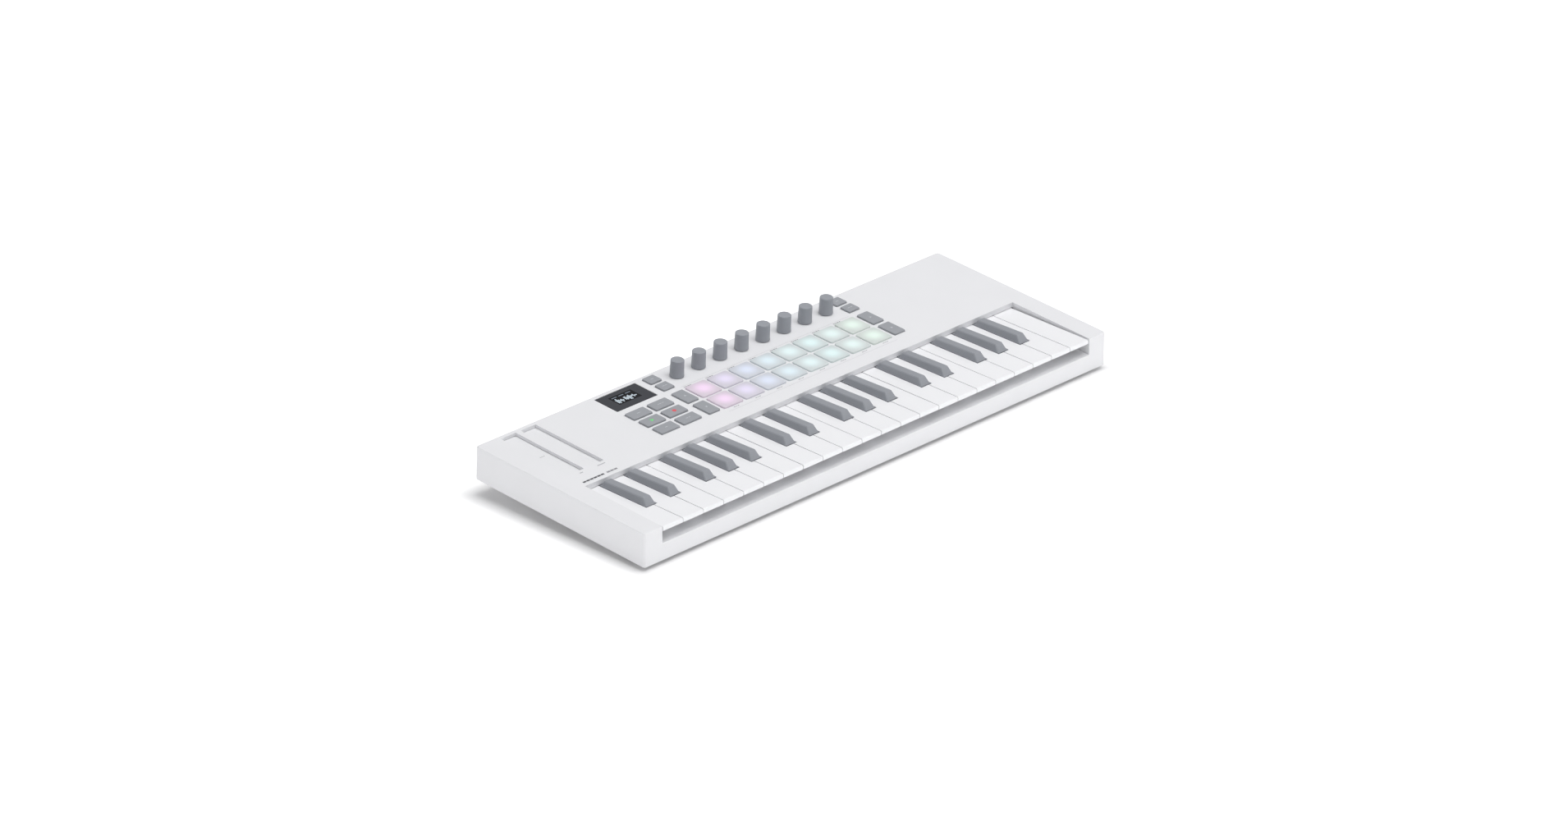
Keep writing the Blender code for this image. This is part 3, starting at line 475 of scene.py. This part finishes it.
def make_keys():
    for node in sorted(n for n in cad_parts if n.startswith("key_") and n[-1].isdigit()):
        if "s" in node.split("_")[1]:
            refined(node, node, KEY_GREY, 0.22 * MM, angle=24.0, name=node + "_lever")
        else:
            refined(node, node, KEY_WHITE, 0.30 * MM, name=node + "_lever")


# ---------------------------------------------------------------- knobs

KNOB_COUNT = 8
KNOB_BOTTOM = 0.4 * MM
KNOB_RADIUS = 5.15 * MM
KNOB_BASE_RADIUS = 5.45 * MM
KNOB_SHAFT_RADIUS = 3.0 * MM
KNOB_EDGE = 0.7 * MM


def knob_profile(low, high):
    """(radius, height) steps up the shaft, the flared base and the side, then over the dished top."""
    bottom, top = KNOB_BOTTOM, high
    profile = [(0.0, low), (KNOB_SHAFT_RADIUS, low), (KNOB_SHAFT_RADIUS, bottom),
               (KNOB_BASE_RADIUS - 0.2 * MM, bottom), (KNOB_BASE_RADIUS, bottom + 0.2 * MM),
               (KNOB_BASE_RADIUS, bottom + 0.8 * MM), (KNOB_BASE_RADIUS - 0.12 * MM, bottom + 1.1 * MM),
               (KNOB_RADIUS + 0.22 * MM, bottom + 1.3 * MM), (KNOB_RADIUS + 0.2 * MM, bottom + 1.5 * MM),
               (KNOB_RADIUS, top - KNOB_EDGE)]
    for turn in (math.radians(degrees) for degrees in (18, 36, 54, 72, 90)):
        profile.append((KNOB_RADIUS - KNOB_EDGE * (1 - math.cos(turn)),
                        top - KNOB_EDGE * (1 - math.sin(turn))))
    return profile + [(KNOB_RADIUS - 1.6 * MM, top - 0.04 * MM), (KNOB_RADIUS - 3.0 * MM, top - 0.1 * MM),
                      (0.0, top - 0.12 * MM)]


def make_knobs():
    for number in range(1, KNOB_COUNT + 1):
        node = f"knob_{number}"
        low, high = panel_box(node)
        bm = bmesh.new()
        add_lathe(bm, knob_profile(low.z, high.z), segments=64)
        add_piece(node + "_cap", finish_mesh(node, bm, [KNOB_GREY]), node, (node,),
                  at=((low.x + high.x) / 2, (low.y + high.y) / 2, 0.0))


# ---------------------------------------------------------------- pads and buttons

PAD_COLOURS = ((1.0, 0.52, 1.0), (0.72, 0.58, 1.0), (0.55, 0.68, 1.0), (0.58, 0.86, 1.0),
               (0.66, 0.98, 1.0), (0.62, 1.0, 1.0), (0.70, 1.0, 0.96), (0.70, 1.0, 0.82))
PADS_IN_ROW = 8
PAD_GROWTH = 0.3 * MM             # a pad is this much wider than its CAD block
PAD_CORNER = 1.7 * MM
BUTTON_CORNER = 0.9 * MM
WEB_TOP = -2.8 * MM
WEB_BOTTOM = -4.2 * MM
WEB_CORNER = 0.8 * MM
PLUNGER_BOTTOM = -8.2 * MM
PLUNGER_CORNER = 1.2 * MM
SEAT = 0.01 * MM                  # how far a print or a pad stands off what is below it


def make_web(node, rectangles, material):
    """The thin sheet that joins a mat's pads or buttons, with a plunger under each."""
    low, high = panel_box(node)
    bm = bmesh.new()
    edge = 0.2 * MM
    add_block(bm, ((low.x + high.x) / 2, (low.y + high.y) / 2), (high.x - low.x, high.y - low.y), WEB_CORNER,
              [(edge, WEB_BOTTOM), (0.0, WEB_BOTTOM + edge), (0.0, WEB_TOP - edge), (edge, WEB_TOP)])
    for x, y, width, depth, _ in rectangles:
        add_block(bm, (x, y), (width, depth), PLUNGER_CORNER,
                  [(0.6 * MM, PLUNGER_BOTTOM), (0.3 * MM, PLUNGER_BOTTOM + 0.3 * MM), (0.0, WEB_BOTTOM)])
    add_piece(node + "_web", finish_mesh(node + "_web", bm, [material]), node, (node,))


def make_pads():
    rectangles = raised_rectangles("pad_mat")
    make_web("pad_mat", rectangles, MAT_WHITE)
    glows = [pad_glow(f"pad_glow_{i + 1}", colour) for i, colour in enumerate(PAD_COLOURS)]
    for i, (x, y, width, depth, top) in enumerate(rectangles):
        row, column = divmod(i, PADS_IN_ROW)
        bm = bmesh.new()
        profile = [(0.0, WEB_TOP + SEAT), (0.0, top - 0.8 * MM)]
        profile += round_edge(top, 0.5 * MM, crown=0.2 * MM, crown_reach=6 * MM)[1:]
        add_block(bm, (0.0, 0.0), (width + PAD_GROWTH, depth + PAD_GROWTH), PAD_CORNER, profile, steps=6)
        add_piece(f"pad_{'front' if row == 0 else 'rear'}_{column + 1}",
                  finish_mesh("pad", bm, [glows[column]]), "pad_mat", ("pad_mat",),
                  at=(x, y, 0.0))


def make_buttons(node):
    """A mat's separate buttons on their sheet; returns where they are, front row first."""
    rectangles = raised_rectangles(node)
    make_web(node, rectangles, BUTTON_GREY)
    for i, (x, y, width, depth, top) in enumerate(rectangles):
        bm = bmesh.new()
        profile = [(0.0, WEB_TOP + SEAT), (0.0, top - 0.5 * MM)]
        profile += round_edge(top, 0.3 * MM, crown=0.1 * MM, crown_reach=3 * MM)[1:]
        add_block(bm, (0.0, 0.0), (width, depth), BUTTON_CORNER, profile)
        add_piece(f"{node.replace('_keymat', '')}_button_{i + 1}", finish_mesh("button", bm, [BUTTON_GREY]),
                  node, (node,), at=(x, y, 0.0))
    return rectangles


DASH_GAP = 0.5 * MM
DASH_THICKNESS = 0.04 * MM
MARK_THICKNESS = 0.05 * MM
DASH_HEIGHT = 0.6 * MM
PLAY_BUTTON, PLAY_SIZE = 2, 2.2 * MM
RECORD_BUTTON, RECORD_RADIUS = 3, 1.7 * MM
ARROW_SIZE = 1.3 * MM
TRANSPORT_DASHES = {0: (2.8 * MM,), 1: (2.2 * MM, 1.6 * MM), 4: (3.4 * MM,), 5: (4.0 * MM, 1.8 * MM)}
SIDE_DASHES = {2: (2.2 * MM, 2.0 * MM), 3: (3.0 * MM,)}


def add_dashes(bm, x, y, z, dashes, height, material=0):
    """A centred row of short bars, in place of a word."""
    left = x - (sum(dashes) + DASH_GAP * (len(dashes) - 1)) / 2
    for dash in dashes:
        add_plate(bm, (left, y - height / 2, z), (left + dash, y + height / 2, z + DASH_THICKNESS), material)
        left += dash + DASH_GAP


def add_disc(bm, x, y, z, radius, material):
    top = z + MARK_THICKNESS
    add_lathe(bm, [(0.0, z), (radius, z), (radius, top), (0.0, top)], segments=24, centre=(x, y),
              material=material)


def add_triangle(bm, x, y, z, size, turn, material=0):
    """A flat triangle that points along an angle in degrees from +X."""
    corners = []
    for i in range(3):
        a = math.radians(turn + 120 * i)
        corners.append((x + size * math.cos(a), y + size * math.sin(a)))
    low = [bm.verts.new((*c, z)) for c in corners]
    high = [bm.verts.new((*c, z + MARK_THICKNESS)) for c in corners]
    faces = [bm.faces.new(list(reversed(low))), bm.faces.new(high)]
    faces += [bm.faces.new((low[i], low[(i + 1) % 3], high[(i + 1) % 3], high[i])) for i in range(3)]
    for face in faces:
        face.material_index = material


def make_marks():
    """Generic marks on the buttons: short bars, arrowheads, a play triangle and a record dot."""
    bm = bmesh.new()
    for i, (x, y, _, _, top) in enumerate(make_buttons("transport_keymat")):
        if i == PLAY_BUTTON:
            add_triangle(bm, x - 0.5 * MM, y, top + SEAT, PLAY_SIZE, turn=0.0, material=1)
        elif i == RECORD_BUTTON:
            add_disc(bm, x, y, top + SEAT, RECORD_RADIUS, material=2)
        else:
            add_dashes(bm, x, y, top + SEAT, TRANSPORT_DASHES[i], DASH_HEIGHT)
    add_piece("transport_marks", finish_mesh("transport_marks", bm, [MARK_PALE, MARK_GREEN, MARK_RED]),
              "transport_keymat")
    for node, turns in (("left_keymat", (-90.0, 90.0)), ("right_keymat", (0.0, 0.0))):
        bm = bmesh.new()
        for i, (x, y, _, _, top) in enumerate(make_buttons(node)):
            if i in SIDE_DASHES:
                add_dashes(bm, x, y, top + SEAT, SIDE_DASHES[i], DASH_HEIGHT)
            else:
                add_triangle(bm, x, y, top + SEAT, ARROW_SIZE, turns[i])
        add_piece(node.replace("keymat", "marks"), finish_mesh(node + "_marks", bm, [MARK_PALE]), node)


# ---------------------------------------------------------------- display, strips and panel printing

SCREEN_X = (-0.1165, -0.0941)
SCREEN_Y = (0.1520, 0.1645)
SCREEN_MARGIN = 1.5 * MM
SCREEN_BARS = 17
SCREEN_BAR_SHARE = 0.72           # how much of its pitch a bar fills
SCREEN_TITLES = 3
TITLE_PITCH = 6.8 * MM
TITLE_SIZE = (5.0 * MM, 0.9 * MM)
TITLE_DROP = 2.6 * MM

CENTRE_MARK_HALF = (2.4 * MM, 0.25 * MM)

INK_DARK, INK_PALE, INK_MID = 0, 1, 2
REAR_LABEL = (1.6 * MM, 0.9 * MM, 2.1 * MM, 1.2 * MM)
FRONT_LABEL = (1.8 * MM, 1.0 * MM, 1.5 * MM)
STRIP_LABELS = (("pitch_strip", (3.0 * MM,)), ("modulation_strip", (7.5 * MM,)))
LINE_WIDTH = 0.15 * MM
NAME_Y = 0.0833
NAME_HEIGHT = 1.7 * MM
NAME_BAR = 3.0 * MM
NAME_GROUPS = ((-0.2085, 6, INK_DARK), (-0.1903, 3, INK_MID))


def make_display():
    """The window, a black screen on it and a picture of uneven bars below three short titles."""
    refined("display_window", "case", WINDOW_GREY, 0.15 * MM)
    top = panel_box("display_window")[1].z
    bm = bmesh.new()
    add_plate(bm, (SCREEN_X[0], SCREEN_Y[0], top + SEAT), (SCREEN_X[1], SCREEN_Y[1], top + 3 * SEAT))
    add_piece("display_screen", finish_mesh("display_screen", bm, [SCREEN_BLACK]), "case")
    bm = bmesh.new()
    low, high = top + 4 * SEAT, top + 6 * SEAT
    left = SCREEN_X[0] + SCREEN_MARGIN
    pitch = (SCREEN_X[1] - SCREEN_X[0] - 2 * SCREEN_MARGIN) / SCREEN_BARS
    for i in range(SCREEN_BARS):
        x = left + i * pitch
        reach = 1.8 * MM + 1.1 * MM * math.sin(1.9 * i) + 0.9 * MM * math.sin(0.7 * i + 1.0)
        middle = SCREEN_Y[0] + 4.4 * MM + 0.5 * MM * math.sin(1.1 * i)
        add_plate(bm, (x, middle - reach, low), (x + pitch * SCREEN_BAR_SHARE, middle + reach, high))
    for i in range(SCREEN_TITLES):
        x, y = left + i * TITLE_PITCH, SCREEN_Y[1] - TITLE_DROP
        add_plate(bm, (x, y, low), (x + TITLE_SIZE[0], y + TITLE_SIZE[1], high), material=1)
    add_piece("display_graphics", finish_mesh("display_graphics", bm, [SCREEN_LIGHT, SCREEN_DIM]), "case")


def make_strips():
    for node in ("pitch_strip", "modulation_strip"):
        refined(node, "case", STRIP_WHITE, 0.15 * MM)
    low, high = panel_box("pitch_strip")
    x, y, z = (low.x + high.x) / 2, (low.y + high.y) / 2, high.z
    half_x, half_y = CENTRE_MARK_HALF
    bm = bmesh.new()
    add_plate(bm, (x - half_x, y - half_y, z + SEAT), (x + half_x, y + half_y, z + 4 * SEAT))
    add_piece("pitch_strip_centre_mark", finish_mesh("centre_mark", bm, [PRINT_PALE]), "case")


def make_printing():
    """Short bars where the panel is labelled, and the two fine lines round the pads."""
    bm = bmesh.new()
    pads = raised_rectangles("pad_mat")
    front, rear = pads[:PADS_IN_ROW], pads[PADS_IN_ROW:]
    front_y = front[0][1] - front[0][3] / 2
    rear_y = rear[0][1] + rear[0][3] / 2
    for x, _, width, _, _ in rear:
        add_dashes(bm, x - width / 2 + 4.6 * MM, rear_y + 1.8 * MM, SEAT, REAR_LABEL, 0.6 * MM, INK_MID)
    for x, _, _, _, _ in front:
        add_dashes(bm, x, front_y - 2.4 * MM, SEAT, FRONT_LABEL, 0.5 * MM, INK_MID)
    left, right = front[0][0] - front[0][2] / 2, front[-1][0] + front[-1][2] / 2
    for y in (rear_y + 3.4 * MM, front_y - 5.0 * MM):
        add_plate(bm, (left, y, SEAT), (right, y + LINE_WIDTH, 3 * SEAT), INK_PALE)
    for node, dashes in STRIP_LABELS:
        low, high = panel_box(node)
        add_dashes(bm, (low.x + high.x) / 2 + 1.5 * MM, low.y - 2.5 * MM, SEAT, dashes, 0.9 * MM, INK_PALE)
    for x, bars, ink in NAME_GROUPS:
        add_dashes(bm, x, NAME_Y, SEAT, (NAME_BAR,) * bars, NAME_HEIGHT, ink)
    add_piece("panel_printing", finish_mesh("panel_printing", bm, [PRINT_GREY, PRINT_PALE, PRINT_MID]),
              "case")


# ---------------------------------------------------------------- sockets and screws

BOARD_THICKNESS = 1.6 * MM
SOCKET_SPACING = 9.5 * MM         # rim points further apart than this are of different sockets
NOSE_LENGTH = 2.5 * MM
NOSE_SETBACK = 0.25 * MM          # the nose's rim stands this far behind its plated bush
BUSH_DEPTH = 4.0 * MM
BUSH_PLAY = 0.02 * MM
PEDAL_WALL, PEDAL_BODY = 1.0 * MM, (14.0 * MM, 24.0 * MM)
MIDI_WALL, MIDI_BODY, MIDI_RISE = 1.1 * MM, (8.0 * MM, 12.7 * MM), 3.5 * MM
USB_WALL = 0.35 * MM
USB_CORNER = 1.5 * MM
USB_LENGTH = 10.0 * MM
USB_DEPTH = 6.0 * MM
TONGUE_SIZE = (6.7 * MM, 0.7 * MM)

SCREW_PLACES = ((0.2298, 0.020), (0.2298, 0.085), (0.2298, 0.160), (0.142, 0.166))
SCREW_PROFILE = (                 # radius, height above the base's underside, round the head and its socket
    (0.0, 0.98 * MM), (2.8 * MM, 0.98 * MM), (2.8 * MM, 0.4 * MM), (2.6 * MM, 0.15 * MM),
    (2.2 * MM, 0.06 * MM), (1.1 * MM, 0.04 * MM), (0.9 * MM, 0.7 * MM), (0.0, 0.9 * MM),
)


def add_tunnel(bm, rings, closed=False, material=0):
    """A solid through rounded outlines of (x, y, z, width, height, corner), one behind another along Y."""
    loops = []
    for x, y, z, width, height, corner in rings:
        outline = rounded_ring(width, height, corner, inset=0.0, steps=11)
        loops.append([bm.verts.new((x + u, y, z + w)) for u, w in outline])
    faces = [] if closed else [bm.faces.new(list(reversed(loops[0]))), bm.faces.new(loops[-1])]
    for low, high in zip(loops, loops[1:] + (loops[:1] if closed else [])):
        for i in range(len(low)):
            j = (i + 1) % len(low)
            faces.append(bm.faces.new((low[i], low[j], high[j], high[i])))
    for face in faces:
        face.material_index = material


def socket_mouths():
    """(x, z, width, height) of each socket's mouth, from left to right."""
    bm = node_bmesh("socket_board")
    face = max(v.co.y for v in bm.verts)
    rim = sorted(tuple(v.co) for v in bm.verts if v.co.y > face - 0.05 * MM)
    bm.free()
    groups = [[rim[0]]]
    for point in rim[1:]:
        if point[0] - groups[-1][-1][0] > SOCKET_SPACING:
            groups.append([])
        groups[-1].append(point)
    mouths = []
    for group in groups:
        xs, zs = [p[0] for p in group], [p[2] for p in group]
        mouths.append(((min(xs) + max(xs)) / 2, (min(zs) + max(zs)) / 2,
                       max(xs) - min(xs), max(zs) - min(zs)))
    return mouths


def add_jack(name, x, z, nose, wall, body, top, face, floor):
    """A round jack: a bored nose on a square body, with a plated bush in its mouth."""
    width, length = body
    back, bore, middle, height = face - NOSE_LENGTH, nose - 2 * wall, (top + floor) / 2, top - floor
    rim = face - NOSE_SETBACK

    def round_at(y, size):
        return x, y, z, size, size, size / 2

    bm = bmesh.new()
    add_tunnel(bm, [round_at(back - length + 3 * MM, bore), round_at(rim, bore),
                    round_at(rim, nose - 0.4 * MM), round_at(rim - 0.2 * MM, nose), round_at(back, nose),
                    (x, back, middle, width - 0.4 * MM, height - 0.4 * MM, 0.5 * MM),
                    (x, back - 0.2 * MM, middle, width, height, 0.7 * MM),
                    (x, back - length, middle, width, height, 0.7 * MM)])
    inner, outer, seat = bore - 0.2 * MM, bore + 0.9 * MM, rim - 0.05 * MM
    add_tunnel(bm, [round_at(face - BUSH_DEPTH, inner), round_at(face, inner), round_at(face, outer),
                    round_at(seat, outer), round_at(seat, bore - BUSH_PLAY),
                    round_at(face - BUSH_DEPTH, bore - BUSH_PLAY)], closed=True, material=1)
    bmesh.ops.remove_doubles(bm, verts=bm.verts, dist=WELD)
    add_piece(name, finish_mesh(name, bm, [SOCKET_BLACK, STEEL]), "case", ("socket_board",))


def add_usb_socket(x, z, width, height, face):
    """A plated shell, open at its face, with the contact tongue inside."""
    mouth, mouth_height = width - 2 * USB_WALL, height - 2 * USB_WALL
    bm = bmesh.new()
    add_tunnel(bm, [(x, face - USB_DEPTH, z, mouth, mouth_height, USB_CORNER - 0.3 * MM),
                    (x, face - 0.1 * MM, z, mouth, mouth_height, USB_CORNER - 0.3 * MM),
                    (x, face, z, mouth + USB_WALL, mouth_height + USB_WALL, USB_CORNER - 0.15 * MM),
                    (x, face - 0.1 * MM, z, width, height, USB_CORNER),
                    (x, face - USB_LENGTH, z, width, height, USB_CORNER)])
    tongue, thickness = TONGUE_SIZE
    add_tunnel(bm, [(x, face - USB_DEPTH - 0.2 * MM, z, tongue, thickness, 0.2 * MM),
                    (x, face - 1.0 * MM, z, tongue, thickness, 0.2 * MM),
                    (x, face - 0.8 * MM, z, tongue - 0.4 * MM, thickness - 0.3 * MM, 0.15 * MM)], material=1)
    bmesh.ops.remove_doubles(bm, verts=bm.verts, dist=WELD)
    add_piece("usb_socket", finish_mesh("usb_socket", bm, [STEEL, SOCKET_BLACK]), "case",
              ("socket_board",))


def make_sockets():
    low, high = panel_box("socket_board")
    face, board_top = high.y, low.z + BOARD_THICKNESS
    bm = bmesh.new()
    add_block(bm, ((low.x + high.x) / 2, (low.y + high.y - 3 * MM) / 2),
              (high.x - low.x, high.y - low.y - 3 * MM), 0.8 * MM, [(0.0, low.z), (0.0, board_top)])
    add_piece("socket_circuit_board", finish_mesh("socket_circuit_board", bm, [BOARD_GREEN]), "case",
              ("socket_board",))
    (pedal_x, pedal_z, pedal, _), (midi_x, midi_z, midi, _), (usb_x, usb_z, usb, usb_height) = socket_mouths()
    floor = board_top - 0.2 * MM
    add_jack("pedal_jack", pedal_x, pedal_z, pedal, PEDAL_WALL, PEDAL_BODY, high.z, face, floor)
    add_jack("midi_jack", midi_x, midi_z, midi, MIDI_WALL, MIDI_BODY, midi_z + MIDI_RISE, face, floor)
    add_usb_socket(usb_x, usb_z, usb, usb_height, face)


def make_screws():
    bm = bmesh.new()
    profile = [(radius, height - CASE_HEIGHT) for radius, height in SCREW_PROFILE]
    for side in (-1, 1):
        for x, y in SCREW_PLACES:
            add_lathe(bm, profile, segments=24, centre=(side * x, y))
    add_piece("base_screws", finish_mesh("base_screws", bm, [SCREW_STEEL]), "case")


add_camera()
add_studio()
add_floor()
make_case()
make_keys()
make_knobs()
make_pads()
make_marks()
make_display()
make_strips()
make_printing()
make_sockets()
make_screws()
